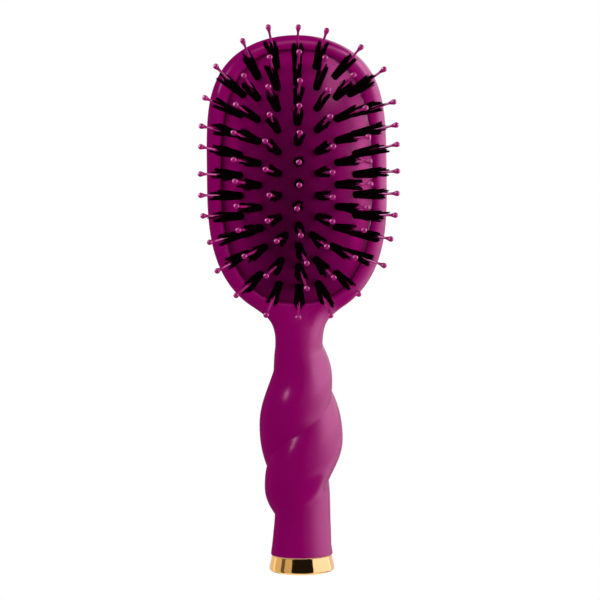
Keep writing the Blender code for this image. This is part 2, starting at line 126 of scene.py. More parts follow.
# how far the single pins have been bent out of line: the tip's offset in mm
BENT = {
    -3: ((3, 3), (0, 1), (-0.5, -0.5), (-0.5, 1), (-1, -0.5), (-1, 0.5), (0, 2), (-0.5, 0), (0.5, -1)),
    -2: ((3, 3.5), (5, -1), (2, -1), (1, -1), (1, -1), (1.5, 1), (2, 2), (1, 3), (0.5, 3), (-1, 0.5)),
    -1: ((0.5, 4), (1.5, 1), (1, 0), (1.5, 0), (-0.5, 0.5), (-0.5, 0), (1, 0.5), (0, 1.5), (-0.5, 3), (-2.5, 2), (-2, -2.5)),
    0: ((0.5, 0.5), (0.5, 0.5), (0.5, -1), (0, -0.5), (0, -1), (-0.5, -2.5), (-0.5, -1.5), (-1.5, -0.5), (0, -0.5), (2.5, -1), (2.5, 0), (-1, -1)),
    1: ((-0.5, 1), (-2, 0.5), (-1.5, -1.5), (-1, -1), (0, -2), (-0.5, -1.5), (-0.5, -0.5), (-0.5, 1), (1.5, 0.5), (2, 1), (0, -3)),
    2: ((1, 0.5), (-4.5, -1), (0, -2.5), (1, -3), (1.5, -2), (2, -0.5), (0, 1), (0, 2.5), (-1, 2), (-2, 1)),
    3: ((0, 2), (2.5, -1), (2, -0.5), (2, 1.5), (1.5, 0), (1, 0.5), (0, 1.5), (1.5, 0.5), (0, 0.5)),
}


# ---- curves and outlines ------------------------------------------------------
def smoothstep(t):
    t = np.clip(t, 0.0, 1.0)
    return t * t * (3.0 - 2.0 * t)


def through(x, xs, ys):
    """A smooth curve through points, with level ends."""
    xs, ys = np.asarray(xs, float), np.asarray(ys, float)
    slope = np.zeros(len(xs))
    slope[1:-1] = (ys[2:] - ys[:-2]) / (xs[2:] - xs[:-2])
    x = np.clip(x, xs[0], xs[-1])
    i = np.clip(np.searchsorted(xs, x, side="right") - 1, 0, len(xs) - 2)
    h = xs[i + 1] - xs[i]
    t = (x - xs[i]) / h
    return (
        (2 * t**3 - 3 * t**2 + 1) * ys[i]
        + (t**3 - 2 * t**2 + t) * h * slope[i]
        + (-2 * t**3 + 3 * t**2) * ys[i + 1]
        + (t**3 - t**2) * h * slope[i + 1]
    )


def half_width(y):
    y = np.asarray(y, float)
    v = np.clip((y - HEAD_Y) / HEAD_UP, 0.0, 1.0)
    top = HEAD_HALF_WIDTH * np.sqrt(1.0 - v**HEAD_UP_N)
    v = np.clip((HEAD_Y - y) / HEAD_DOWN, 0.0, 1.0)
    low = HEAD_HALF_WIDTH * np.sqrt(1.0 - v**HEAD_DOWN_N)
    neck = NECK_HALF_WIDTH + NECK_FLARE * np.exp(np.minimum((y - NECK_FLARE_Y) / NECK_FLARE_LENGTH, 4.0))
    s = smoothstep((-2.3 - y) / 3.0)
    return np.where(y >= HEAD_Y, top, (1.0 - s) * low + s * neck)


def outline(bottom):
    """Dense points of the right-hand outline, from the head's top down to y=bottom."""
    t = np.linspace(math.pi / 2, 0.0, 500)
    x = HEAD_HALF_WIDTH * np.cos(t)
    y = HEAD_Y + HEAD_UP * np.sin(t) ** (2 / HEAD_UP_N)
    x[0] = 0.0
    ys = np.linspace(HEAD_Y, bottom, 700)[1:]
    return np.column_stack([np.append(x, half_width(ys)), np.append(y, ys)])


def spaced(points, count):
    """The same line in `count` steps of equal length."""
    run = np.append(0.0, np.cumsum(np.linalg.norm(np.diff(points, axis=0), axis=1)))
    at = np.linspace(0.0, run[-1], count + 1)
    return np.column_stack([np.interp(at, run, points[:, k]) for k in range(points.shape[1])])


def distance(points, line):
    """Distance of each point to a polyline."""
    a, b = line[:-1], line[1:]
    d = b - a
    length = np.maximum((d * d).sum(1), 1e-12)
    out = np.empty(len(points))
    for i in range(0, len(points), 4000):
        p = points[i : i + 4000, None, :]
        t = np.clip(((p - a) * d).sum(2) / length, 0.0, 1.0)
        out[i : i + 4000] = np.sqrt((((a + t[..., None] * d) - p) ** 2).sum(2).min(1))
    return out


def oval(a, b, t, n=OPENING_N):
    c, s = np.cos(t), np.sin(t)
    return np.column_stack(
        [OPENING_X + a * np.sign(c) * np.abs(c) ** (2 / n), HEAD_Y + b * np.sign(s) * np.abs(s) ** (2 / n)]
    )


RIGHT_EDGE = outline(-30.0)[::4]
EDGE = np.vstack([RIGHT_EDGE, RIGHT_EDGE[:1]])[: len(RIGHT_EDGE)]
MOUTH = oval(OPENING_A, OPENING_B, np.linspace(0.0, 2 * math.pi, 721))


def pad_height(x, y):
    u, v = np.abs(x - OPENING_X) / OPENING_A, np.abs(y - HEAD_Y) / OPENING_B
    rho = (u**OPENING_N + v**OPENING_N) ** (1.0 / OPENING_N)
    return PAD_BASE_Z + PAD_RISE * (1.0 - np.minimum(rho, 1.0) ** 2)


# ---- handle ---------------------------------------------------------------------
def core(y):
    return through(
        y,
        (-103.0, -98.0, -93.0, -88.0, -80.0, -52.0, -32.0, -23.0, -18.0),
        (12.55, 11.95, 11.4, 10.9, 10.55, 10.4, 10.1, 9.75, 9.43),
    )


def strand_height(strand, angle, y):
    angles = strand["angle"]
    best = np.zeros_like(y)
    for turn in (-360, 0, 360):
        a = angle + turn
        inside = (a >= angles[0]) & (a <= angles[-1])
        upper, lower = through(a, angles, strand["upper"]), through(a, angles, strand["lower"])
        middle, half = 0.5 * (upper + lower), 0.5 * (upper - lower)
        up = y > middle
        over = np.where(up, through(a, angles, strand["over_upper"]), through(a, angles, strand["over_lower"]))
        soft = np.where(up, through(a, angles, strand["soft_upper"]), through(a, angles, strand["soft_lower"]))
        t = np.minimum(np.abs(y - middle) / (half * over), 1.0)
        height = through(a, angles, strand["height"]) * ((1.0 - soft) * (1.0 - t**2.3) + soft * (1.0 - t * t) ** 2)
        best = np.where(inside, np.maximum(best, height), best)
    return best


def lobes(angle, y):
    """How far the two wound strands stand out of the handle's core."""
    one, two = strand_height(STRAND_1, angle, y), strand_height(STRAND_2, angle, y)
    soft = 0.25
    h = np.maximum(soft - np.abs(one - two), 0.0) / soft
    both = np.maximum(one, two) + 0.25 * h * h * soft * (np.minimum(one, two) > 0.0)
    return both * smoothstep((-10.0 - y) / 10.0)


def rim_z(y):
    """Height of the line where front and back of the body meet."""
    return RIM_Z + (HANDLE_Z - RIM_Z) * smoothstep(-y / 18.0)


def flatness(y):
    return 0.81 + 0.19 * smoothstep((-12.0 - y) / 28.0)


def depth_radius(y):
    w = half_width(y)
    return w - 0.75 * np.maximum(w - 9.43, 0.0)


def front_z(x, y, extra=0.0):
    """Front of the head and neck: a rolled rim that runs out on to the neck."""
    p = np.column_stack([np.abs(x), y])
    reach = RIM_OUT + 4.0 * smoothstep((7.0 - y) / 13.0)
    out = np.maximum(reach - distance(p, EDGE), 0.0) / reach
    inn = np.maximum(RIM_IN - distance(np.column_stack([x, y]), MOUTH), 0.0) / RIM_IN
    dish = rim_z(y) + RIM_OUT_RISE * np.sqrt(np.maximum(1.0 - out**2, 0.0))
    dish -= RIM_IN_DROP * (1.0 - np.sqrt(np.maximum(1.0 - inn**2, 0.0)))
    s = np.clip(np.abs(x) / half_width(y), 0.0, 1.0)
    neck = HANDLE_Z + (depth_radius(y) + extra) * np.sqrt(1.0 - s * s) * flatness(y)
    return dish + (neck - dish) * smoothstep((-1.0 - y) / 17.0)


def back_z(x, y, extra=0.0):
    """Back of the head and neck: gently flat, well rounded towards the edge."""
    w = np.maximum(half_width(y), 1e-6)
    rho = np.sqrt((x / HEAD_HALF_WIDTH) ** 2 + np.abs((y - HEAD_Y) / HEAD_UP) ** HEAD_UP_N)
    u = np.clip(np.where(y >= HEAD_Y, rho, np.abs(x) / w), 0.0, 1.0)
    m = np.where(y >= HEAD_Y, 3.6, 2.0 + 1.6 * smoothstep((w - 10.0) / 22.0))
    dish = rim_z(y) * (1.0 - np.sqrt(np.maximum(1.0 - u**m, 0.0)))
    s = np.clip(np.abs(x) / w, 0.0, 1.0)
    neck = HANDLE_Z - (depth_radius(y) + extra) * np.sqrt(1.0 - s * s) * flatness(y)
    return dish + (neck - dish) * smoothstep((9.0 - y) / 27.0)


def ring(y, angle):
    """Points of the neck and handle at y. Angle 0 is the front, 90 is +X, in degrees."""
    a = np.radians(angle)
    s, c = np.sin(a), np.cos(a)
    s[np.abs(s) < 1e-9] = 0.0
    c[np.abs(c) < 1e-9] = 0.0
    ys = np.full_like(a, y)
    signed = np.where(angle > 180.0, angle - 360.0, angle)
    extra = lobes(signed, ys)
    if y <= GRIP_TOP_Y:
        r = core(ys) + extra
        z = HANDLE_Z + r * c * flatness(ys)
        return np.column_stack([r * s, ys, z])
    x = half_width(ys) * s
    z = np.where(c >= 0.0, front_z(x, ys, extra), back_z(x, ys, extra))
    z = np.where(c == 0.0, rim_z(ys), z)
    return np.column_stack([x + extra * s, ys, z])


# ---- building helpers -------------------------------------------------------------
def piece(name, verts, faces, sharp=None):
    """An object from points in mm, shaded smooth, its faces pointing out."""
    mesh = bpy.data.meshes.new(name)
    mesh.from_pydata((np.asarray(verts, float) * MM).tolist(), [], faces)
    bm = bmesh.new()
    bm.from_mesh(mesh)
    bmesh.ops.recalc_face_normals(bm, faces=bm.faces)
    bm.to_mesh(mesh)
    bm.free()
    mesh.shade_smooth()
    if sharp:
        mesh.set_sharp_from_angle(angle=math.radians(sharp))
    obj = bpy.data.objects.new(name, mesh)
    bpy.context.scene.collection.objects.link(obj)
    return obj


class Builder:
    """Collects rings of points and the faces between them."""

    def __init__(self):
        self.verts, self.faces = [], []

    def add(self, points):
        start = len(self.verts)
        self.verts.extend(np.asarray(points, float).tolist())
        return list(range(start, start + len(points)))

    def band(self, a, b, closed=True):
        n = len(a)
        for i in range(n if closed else n - 1):
            j = (i + 1) % n
            self.faces.append((a[i], a[j], b[j], b[i]))

    def fan(self, a, centre, closed=True):
        n = len(a)
        for i in range(n if closed else n - 1):
            self.faces.append((a[i], a[(i + 1) % n], centre))


# ---- body ---------------------------------------------------------------------------
HALF = 80  # steps round half of the handle
OUTLINE = 300  # steps round the head's outline


def make_body():
    b = Builder()
    around = np.arange(2 * HALF) * 180.0 / HALF  # from the front round by +X
    # neck and handle
    ys = np.concatenate(
        [np.linspace(NECK_TOP_Y, GRIP_TOP_Y, 34), np.linspace(GRIP_TOP_Y, HANDLE_END_Y + 0.25, 206)[1:]]
    )
    rings = [b.add(ring(y, around.copy())) for y in ys]
    for a, c in zip(rings, rings[1:]):
        b.band(a, c)
    # end of the handle, the spigot and the core hole
    last = np.array([b.verts[i] for i in rings[-1]])
    axis = np.array((0.0, 0.0, HANDLE_Z))

    def shrunk(y, r=None, by=0.0):
        d = last - axis
        d[:, 1] = 0.0
        size = np.linalg.norm(d, axis=1, keepdims=True)
        d = d / size * (r if r else size - by)
        return d + axis + np.array((0.0, y, 0.0))

    lines = [
        shrunk(HANDLE_END_Y + 0.07, by=0.07),
        shrunk(HANDLE_END_Y, by=0.25),
        shrunk(HANDLE_END_Y, SPIGOT_RADIUS),
        shrunk(SPIGOT_END_Y + 0.3, SPIGOT_RADIUS),
        shrunk(SPIGOT_END_Y, SPIGOT_RADIUS - 0.3),
        shrunk(SPIGOT_END_Y, BORE_RADIUS),
        shrunk(BORE_TOP_Y - 1.2, BORE_RADIUS),
        shrunk(BORE_TOP_Y, BORE_RADIUS - 1.2),
    ]
    before = rings[-1]
    for line in lines:
        now = b.add(line)
        b.band(before, now)
        before = now
    b.fan(before, b.add([(0.0, BORE_TOP_Y, HANDLE_Z)])[0])

    # front of the head: columns from the cushion's mouth out to the outline, and
    # at the bottom on to the first ring of the neck
    top = rings[0]
    right = outline(NECK_TOP_Y)
    whole = np.vstack([right[::-1], (right * (-1, 1))[1:]])  # up the right, down the left
    edge_xy = spaced(whole, OUTLINE)
    edge_ids = [top[HALF // 2]]
    edge_pts = np.column_stack([edge_xy, np.full(len(edge_xy), 0.0)])
    edge_pts[:, 2] = rim_z(edge_pts[:, 1])
    edge_ids += b.add(edge_pts[1:-1])
    edge_ids.append(top[2 * HALF - HALF // 2])
    bottom_ids = [top[(2 * HALF - HALF // 2 + k) % (2 * HALF)] for k in range(1, HALF)]
    outer_ids = edge_ids + bottom_ids
    outer = np.array([b.verts[i] for i in outer_ids])[:, :2]
    # matching points on the mouth
    t = np.linspace(-math.pi / 2, 1.5 * math.pi, 8001)
    mouth = oval(OPENING_A, OPENING_B, t)
    split = 14.5
    first = int(np.argmin(np.abs(mouth[:2000, 0] - OPENING_X - split)))
    upper_t = t[first : 8001 - first]
    seg = spaced(np.column_stack([mouth[first : 8001 - first], upper_t]), OUTLINE)
    lower = np.linspace(-split, split, HALF + 1)[1:-1]
    from_middle = mouth[: first + 1, 0] - OPENING_X
    lower_t = np.interp(lower, from_middle, t[: first + 1])
    lower_t = np.where(lower < 0, -math.pi - np.interp(-lower, from_middle, t[: first + 1]), lower_t)
    param = np.concatenate([seg[:, 2], lower_t])
    inner = oval(OPENING_A, OPENING_B, param)

    rows = 26
    way = outer - inner
    length = np.linalg.norm(way, axis=1)
    roll = np.minimum(RIM_IN, 0.5 * length)
    straight = np.zeros(len(outer))
    phi = np.linspace(-90.0, 90.0, HALF + 1)[1:-1]
    straight[len(edge_ids) :] = smoothstep((90.0 - np.abs(phi)) / 40.0)
    before = None
    for r in range(rows):
        s = r / rows
        if s <= 0.5:
            d = roll * (1.0 - math.cos(math.pi * s))
        else:
            u = (s - 0.5) / 0.5
            d = roll + (length - roll) * ((1 - straight) * math.sin(math.pi * u / 2) + straight * u)
        xy = inner + way * (d / length)[:, None]
        now = b.add(np.column_stack([xy, front_z(xy[:, 0], xy[:, 1])]))
        if before is None:
            mouth_ids = now
        else:
            b.band(before, now)
        before = now
    b.band(before, outer_ids)

    # recess: wall, ledge, chamber
    before = mouth_ids
    for a, c, z in (
        (OPENING_A, OPENING_B, LEDGE_Z),
        (CHAMBER_A, CHAMBER_B, LEDGE_Z),
        (CHAMBER_A, CHAMBER_B, CHAMBER_FLOOR),
    ):
        now = b.add(np.column_stack([oval(a, c, param), np.full(len(param), z)]))
        b.band(before, now)
        before = now
    b.fan(before, b.add([(0.0, HEAD_Y, CHAMBER_FLOOR)])[0])

    # back of the head
    back_bottom = [top[HALF // 2 + k] for k in range(1, HALF)][::-1]
    outer_ids = edge_ids + back_bottom
    outer = np.array([b.verts[i] for i in outer_ids])[:, :2]
    centre = np.array((0.0, HEAD_Y))
    rows = 44
    before = outer_ids
    for r in range(1, rows):
        f = 1.0 - math.cos(math.pi / 2 * r / rows)
        f = 0.75 * f + 0.25 * (r / rows) ** 1.5
        xy = outer + (centre - outer) * f
        now = b.add(np.column_stack([xy, back_z(xy[:, 0], xy[:, 1])]))
        b.band(before, now)
        before = now
    b.fan(before, b.add([(0.0, HEAD_Y, float(back_z(np.zeros(1), np.array([HEAD_Y]))[0]))])[0])
    return piece("moulded_body", b.verts, b.faces, sharp=55)


# ---- cushion ------------------------------------------------------------------------
def seat(column, i):
    """Where a tuft leaves the cushion, and the way it points."""
    k = abs(column)
    dy = COLUMN_HALF_LENGTH[k] * (1.0 - 2.0 * i / (COLUMN_COUNT[k] - 1))
    v = abs(dy) / OPENING_B
    waist = math.exp(-(((HEAD_Y + dy - WAIST_Y) / WAIST_LENGTH) ** 2)) if k else 0.0
    x = math.copysign(COLUMN_X[k] * (1.0 - COLUMN_DRAW_IN[k] * v**3) - WAIST[k] * waist, column)
    lean_x = math.radians(1.55 * abs(x) + 0.018 * x * x)
    lean_y = math.radians(0.5 * abs(dy) + 0.0055 * dy * dy)
    way = Vector((math.copysign(math.tan(lean_x), x) if k else 0.0, math.copysign(math.tan(lean_y), dy), 1.0))
    y = HEAD_Y + dy + WAIST_LIFT * waist
    return Vector((x, y, float(pad_height(x, y)))), way.normalized()


def stand(column, i, share):
    """Matrix that stands a pin or tuft on its seat, bent out of line by a share of its pin's offset."""
    at, way = seat(column, i)
    bent = BENT[column][i]
    way = (way * PIN_LENGTH + Vector((bent[0], bent[1], 0.0)) * share).normalized()
    side = Vector((0, 1, 0)).cross(way).normalized()
    up = way.cross(side)
    return np.array(
        ((side.x, up.x, way.x, at.x), (side.y, up.y, way.y, at.y), (side.z, up.z, way.z, at.z), (0, 0, 0, 1))
    )


def make_pad():
    b = Builder()
    around = 220
    t = np.linspace(0.0, 2 * math.pi, around, endpoint=False)
    edge_a, edge_b = OPENING_A - 0.05, OPENING_B - 0.05
    seats = np.array([tuple(seat(c, i)[0]) for c in COLUMNS for i in range(COLUMN_COUNT[abs(c)])])

    def surface(scale, drop=0.0):
        xy = oval(edge_a * scale, edge_b * scale, t)
        z = PAD_BASE_Z + PAD_RISE * (1.0 - scale**2)
        z = np.full(around, z + EDGE_LIFT * math.exp((scale - 1.0) / 0.08)) - drop
        r = np.sqrt(((xy[:, None, :] - seats[None, :, :2]) ** 2).sum(2)).min(1)
        z -= 0.14 * np.exp(-((r / 1.9) ** 2)) * (1.0 if drop == 0.0 else 0.0)
        return np.column_stack([xy, z])

    scales = list(1.0 - np.linspace(0.0, 1.0, 64)[:-1] ** 1.0 * 0.994)
    rows = []
    # outer side: skirt, rolled shoulder, dome
    rows.append(b.add(np.column_stack([oval(edge_a, edge_b, t), np.full(around, PAD_SKIRT_Z)])))
    rows.append(b.add(np.column_stack([oval(edge_a, edge_b, t), np.full(around, PAD_BASE_Z + EDGE_LIFT - 0.45)])))
    rows.append(b.add(np.column_stack([oval(edge_a - 0.06, edge_b - 0.06, t), np.full(around, PAD_BASE_Z + EDGE_LIFT - 0.05)])))
    for s in scales[1:]:
        rows.append(b.add(surface(s)))
    for p, q in zip(rows, rows[1:]):
        b.band(p, q)
    b.fan(rows[-1], b.add([(0.0, HEAD_Y, PAD_BASE_Z + PAD_RISE)])[0])
    # inner side
    inner = [b.add(np.column_stack([oval(edge_a - 1.2, edge_b - 1.2, t), np.full(around, PAD_SKIRT_Z)]))]
    inner.append(b.add(np.column_stack([oval(edge_a - 1.2, edge_b - 1.2, t), np.full(around, PAD_BASE_Z - 0.9)])))
    for s in scales[4::3]:
        inner.append(b.add(surface(s, PAD_THICKNESS)))
    b.band(rows[0], inner[0])
    for p, q in zip(inner, inner[1:]):
        b.band(p, q)
    b.fan(inner[-1], b.add([(0.0, HEAD_Y, PAD_BASE_Z + PAD_RISE - PAD_THICKNESS)])[0])
    return piece("rubber_cushion", b.verts, b.faces, sharp=70)


# ---- pins and bristles ------------------------------------------------------------------
PIN_PROFILE = (
    (0.60, -4.6), (0.60, 0.0), (0.58, 4.0), (0.56, 9.0), (0.53, 12.5), (0.48, 15.5), (0.44, 17.4), (0.46, 18.2),
    (0.53, 18.8), (0.63, 19.3), (0.76, 19.8), (0.90, 20.3), (0.99, 20.7), (1.02, 21.0), (0.98, 21.32),
    (0.86, 21.62), (0.64, 21.86), (0.34, 21.98),
)


def make_pins(column):
    b = Builder()
    sides = 16
    turn = np.arange(sides) * 2 * math.pi / sides
    for i in range(COLUMN_COUNT[abs(column)]):
        m = stand(column, i, 1.0)
        rows = []
        for r, h in PIN_PROFILE:
            r *= 1.10 if h > 2.0 else 1.0
            local = np.column_stack([r * np.cos(turn), r * np.sin(turn), np.full(sides, h), np.ones(sides)])
            rows.append(b.add((local @ m.T)[:, :3]))
        for p, q in zip(rows, rows[1:]):
            b.band(p, q)
        ends = b.add((np.array(((0, 0, -4.6, 1), (0, 0, 22.0, 1))) @ m.T)[:, :3])
        b.fan(rows[0], ends[0])
        b.fan(rows[-1], ends[1])
    # the flat runner behind the cushion that the pins stand on
    points = []
    sides_of = []
    for i in range(COLUMN_COUNT[abs(column)]):
        m = stand(column, i, 0.0)
        points.append(m[:3, 3] - m[:3, 2] * 4.75)
        sides_of.append((m[:3, 0], m[:3, 2]))
    points = [points[0] * 1.2 - points[1] * 0.2, *points, points[-1] * 1.2 - points[-2] * 0.2]
    sides_of = [sides_of[0], *sides_of, sides_of[-1]]
    section = [(1.3, -0.4), (1.3, 0.4), (1.1, 0.6), (-1.1, 0.6), (-1.3, 0.4), (-1.3, -0.4), (-1.1, -0.6), (1.1, -0.6)]
    rows = [b.add([p + s * u + w * v for u, v in section]) for p, (s, w) in zip(points, sides_of)]
    for p, q in zip(rows, rows[1:]):
        b.band(p, q)
    b.faces.append(tuple(rows[0]))
    b.faces.append(tuple(reversed(rows[-1])))
    return piece(f"ball_pins_{COLUMNS[column]}", b.verts, b.faces, sharp=50)


def make_tufts(column):
    """Loose bristles: each is a thin tapered hair with a closed end."""
    rng = np.random.default_rng(4100 + column)
    hairs, levels, sides, clumps = 330, 7, 3, 11
    verts, faces = [], []
    start = 0
    for i in range(COLUMN_COUNT[abs(column)]):
        m = stand(column, i, 0.55)
        towards_end = min(abs(float(m[1, 3]) - HEAD_Y) / 46.0, 1.0)
        flare = 1.05 + 0.25 * towards_end**2
        rho = np.sqrt(rng.uniform(0.13, 1.0, hairs)) * 1.45
        theta = rng.uniform(0.0, 2 * math.pi, hairs)
        # hairs draw together into clumps towards their ends
        clump = (theta / (2 * math.pi) * clumps).astype(int) % clumps
        clump_theta = (np.arange(clumps) + rng.uniform(0.2, 0.8, clumps)) * 2 * math.pi / clumps
        clump_rho = rng.uniform(0.7, 2.9, clumps) * flare
        clump_length = rng.normal(0.0, 1.5, clumps)
        turn_in = np.angle(np.exp(1j * (clump_theta[clump] - theta)))
        tip_theta = theta + 0.85 * turn_in + rng.normal(0.0, 0.08, hairs)
        spread = 0.5 * rho * 1.35 + 0.5 * clump_rho[clump] * np.sqrt(rho / 1.35) + rng.normal(0.0, 0.12, hairs)
        stray = rng.random(hairs) < 0.05
        spread = np.where(stray, spread + rng.uniform(0.3, 0.8, hairs), spread)
        length = 14.1 - 1.7 * towards_end**3 + clump_length[clump] - np.abs(rng.normal(0.0, 1.1, hairs))
        if column == 0:
            length -= 1.4 * max(float(m[1, 3]) - HEAD_Y, 0.0) / 46.0
        # the pin parts the hairs on the front of a leaning tuft, close to their ends
        front = math.atan2(m[2, 1], m[2, 0])
        lean = math.hypot(m[2, 0], m[2, 1])
        turned = np.angle(np.exp(1j * (theta - front)))
        part = min(lean * 2.0, 1.0) * np.exp(-((turned / 0.6) ** 2))
        opened = rng.random() < (0.6 if m[1, 3] < HEAD_Y - 30.0 else 0.1)
        length += part * (-2.4 * rng.uniform(0.0, 1.0, hairs) if opened else 1.0)
        spread = spread * (1.0 - (0.0 if opened else 0.45) * part)
        length = np.where(stray, length - rng.uniform(0.0, 2.0, hairs), length)
        thick = rng.uniform(0.12, 0.17, hairs)
        bow = rng.normal(0.0, 0.10, (hairs, 2))
        h = np.linspace(0.0, 1.0, levels)
        radius = rho[:, None] + (spread - rho)[:, None] * h[None, :] ** 1.6
        heading = theta[:, None] + (tip_theta - theta)[:, None] * h[None, :] ** 3
        cx = radius * np.cos(heading) + bow[:, :1] * np.sin(math.pi * h)
        cy = radius * np.sin(heading) + bow[:, 1:] * np.sin(math.pi * h)
        cz = -1.6 + (length[:, None] + 1.6) * h[None, :]
        taper = thick[:, None] * (1.0 - 0.45 * h[None, :] ** 3)
        turn = np.arange(sides) * 2 * math.pi / sides
        spin = rng.uniform(0, 2 * math.pi, hairs)
        ring_x = cx[:, :, None] + taper[:, :, None] * np.cos(turn + spin[:, None, None])
        ring_y = cy[:, :, None] + taper[:, :, None] * np.sin(turn + spin[:, None, None])
        ring_z = np.repeat(cz[:, :, None], sides, axis=2)
        pts = np.stack([ring_x, ring_y, ring_z, np.ones_like(ring_z)], axis=-1).reshape(-1, 4)
        tips = np.column_stack([cx[:, -1], cy[:, -1], cz[:, -1] + 0.25, np.ones(hairs)])
        verts.append((pts @ m.T)[:, :3])
        verts.append((tips @ m.T)[:, :3])
        size = levels * sides
        for s in range(hairs):
            o = start + s * size
            for l in range(levels - 1):
                for k in range(sides):
                    n = (k + 1) % sides
                    faces.append((o + l * sides + k, o + l * sides + n, o + (l + 1) * sides + n, o + (l + 1) * sides + k))
            faces.append((o + 2, o + 1, o))
            tip = start + hairs * size + s
            e = o + (levels - 1) * sides
            for k in range(sides):
                faces.append((e + k, e + (k + 1) % sides, tip))
        start += hairs * (size + 1)
    mesh = bpy.data.meshes.new(f"bristles_{COLUMNS[column]}")
    mesh.from_pydata((np.vstack(verts) * MM).tolist(), [], faces)
    mesh.shade_smooth()
    obj = bpy.data.objects.new(mesh.name, mesh)
    bpy.context.scene.collection.objects.link(obj)
    return obj


# ---- end cap ------------------------------------------------------------------------------
def make_cap():
    b = Builder()
    sides = 160
    turn = np.arange(sides) * 2 * math.pi / sides
    profile = [
        (8.8, -106.5), (8.8, -102.95), (8.95, -102.8),
        (12.0, -102.8), (12.12, -102.83), (12.2, -102.92), (12.24, -103.05),
        (12.28, -103.3), (12.42, -103.9), (12.58, -104.6), (12.76, -105.3), (12.94, -106.0), (13.1, -106.7),
        (13.22, -107.3), (13.28, -107.8), (13.27, -108.15), (13.17, -108.5), (12.98, -108.78), (12.7, -109.0),
        (12.3, -109.14), (11.8, -109.2), (0.35, -109.2),
    ]
    rows = []
    for r, y in profile:
        rows.append(b.add(np.column_stack([r * np.sin(turn), np.full(sides, y), HANDLE_Z + r * np.cos(turn)])))
    for p, q in zip(rows, rows[1:]):
        b.band(p, q)
    ends = b.add([(0.0, -106.5, HANDLE_Z), (0.0, -109.2, HANDLE_Z)])
    b.fan(rows[0], ends[0])
    b.fan(rows[-1], ends[1])
    return piece("gold_end_cap", b.verts, b.faces, sharp=40)


# ---- materials ------------------------------------------------------------------------------
def new_material(name, roughness, metallic=0.0, specular=0.5, ior=1.45, tint=None):
    m = bpy.data.materials.new(name)
    m.use_nodes = True
    shader = m.node_tree.nodes["Principled BSDF"]
    shader.inputs["Roughness"].default_value = roughness
    shader.inputs["Metallic"].default_value = metallic
    shader.inputs["Specular IOR Level"].default_value = specular
    shader.inputs["IOR"].default_value = ior
    if tint:
        shader.inputs["Specular Tint"].default_value = (*tint, 1.0)
    return m, m.node_tree.nodes, m.node_tree.links, shader


def noise(nodes, links, coords, scale, detail=2.0, stretch=None):
    n = nodes.new("ShaderNodeTexNoise")
    n.inputs["Scale"].default_value = scale
    n.inputs["Detail"].default_value = detail
    if stretch:
        mapping = nodes.new("ShaderNodeMapping")
        mapping.inputs["Scale"].default_value = stretch
        links.new(coords, mapping.inputs["Vector"])
        coords = mapping.outputs["Vector"]
    links.new(coords, n.inputs["Vector"])
    return n.outputs["Fac"]


def remap(nodes, links, value, low, high, from_low=0.3, from_high=0.7):
    n = nodes.new("ShaderNodeMapRange")
    n.inputs["From Min"].default_value = from_low
    n.inputs["From Max"].default_value = from_high
    n.inputs["To Min"].default_value = low
    n.inputs["To Max"].default_value = high
    links.new(value, n.inputs["Value"])
    return n.outputs["Result"]


def two_tone(nodes, links, fac, a, b):
    n = nodes.new("ShaderNodeMix")
    n.data_type = "RGBA"
    n.inputs["A"].default_value = (*a, 1.0)
    n.inputs["B"].default_value = (*b, 1.0)
    links.new(fac, n.inputs["Factor"])
    return n.outputs["Result"]


def bump(nodes, links, height, strength, distance_m, normal=None):
    n = nodes.new("ShaderNodeBump")
    n.inputs["Strength"].default_value = strength
    n.inputs["Distance"].default_value = distance_m
    links.new(height, n.inputs["Height"])
    if normal is not None:
        links.new(normal, n.inputs["Normal"])
    return n.outputs["Normal"]


def surface_material(name, a, b, roughness, rough_vary, tone_scale, grain_scale, grain, **more):
    """Two close tones in soft clouds, a varying gloss, and a fine grain in relief."""
    m, nodes, links, shader = new_material(name, roughness, **more)
    coords = nodes.new("ShaderNodeTexCoord").outputs["Object"]
    tone = remap(nodes, links, noise(nodes, links, coords, tone_scale, 3.0), 0.0, 1.0)
    links.new(two_tone(nodes, links, tone, a, b), shader.inputs["Base Color"])
    gloss = noise(nodes, links, coords, tone_scale * 3.1, 4.0)
    links.new(remap(nodes, links, gloss, roughness - rough_vary, roughness + rough_vary), shader.inputs["Roughness"])
    fine = noise(nodes, links, coords, grain_scale, 2.0)
    links.new(bump(nodes, links, fine, grain, 0.0001), shader.inputs["Normal"])
    return m


def paint(obj, material):
    obj.data.materials.clear()
    obj.data.materials.append(material)


GLEAM = (1.0, 0.48, 0.76)  # the pink tone of a highlight on the plum plastic

PLUM = surface_material(
    "plum_moulding", (0.198, 0.0002, 0.089), (0.188, 0.0001, 0.083), 0.22, 0.03, 55.0, 900.0, 0.05,
    specular=1.0, ior=1.5, tint=GLEAM,
)
RUBBER = surface_material(
    "plum_rubber", (0.205, 0.0002, 0.092), (0.192, 0.0001, 0.084), 0.24, 0.02, 90.0, 1600.0, 0.03,
    specular=1.0, ior=1.5, tint=GLEAM,
)
NYLON = surface_material(
    "pink_nylon", (0.275, 0.010, 0.125), (0.230, 0.007, 0.104), 0.18, 0.03, 120.0, 2500.0, 0.04,
    specular=1.0, ior=1.5, tint=(1.0, 0.62, 0.84),
)
BLACK = surface_material(
    "black_moulding", (0.020, 0.018, 0.020), (0.028, 0.025, 0.028), 0.5, 0.06, 60.0, 1400.0, 0.2
)
STEEL = surface_material(
    "drawn_wire", (0.56, 0.56, 0.58), (0.50, 0.50, 0.52), 0.32, 0.05, 80.0, 2500.0, 0.15, metallic=1.0
)


